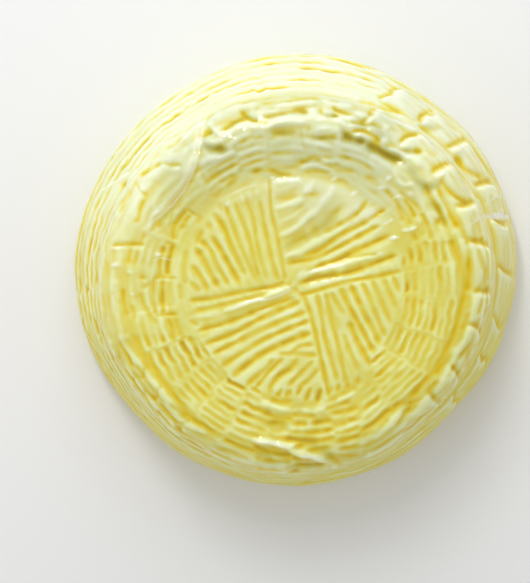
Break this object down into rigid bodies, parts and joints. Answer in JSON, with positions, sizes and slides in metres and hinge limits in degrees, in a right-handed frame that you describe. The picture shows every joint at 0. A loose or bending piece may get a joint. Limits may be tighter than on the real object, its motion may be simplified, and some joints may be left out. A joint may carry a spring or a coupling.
{
  "type": "fresh tuma cheese",
  "caption": "Whole round of fresh tuma cheese in tight clear film, lying flat, with fans of ribs on its face and rows of basket marks round its side.",
  "frame": {"origin": "centre of the bounding box at the flat base the cheese rests on", "axes": "+Z out of the marked face; -Y towards the side that is uppermost in the picture; +X towards the picture's left"},
  "size_m": [0.244, 0.2406, 0.0806],
  "materials": {
    "tuma_cheese": "moist pale yellow fresh cheese under tight clear film, glossy"
  },
  "bodies": {
    "root": {"cheese_wheel": "tuma_cheese"}
  },
  "joints": []
}
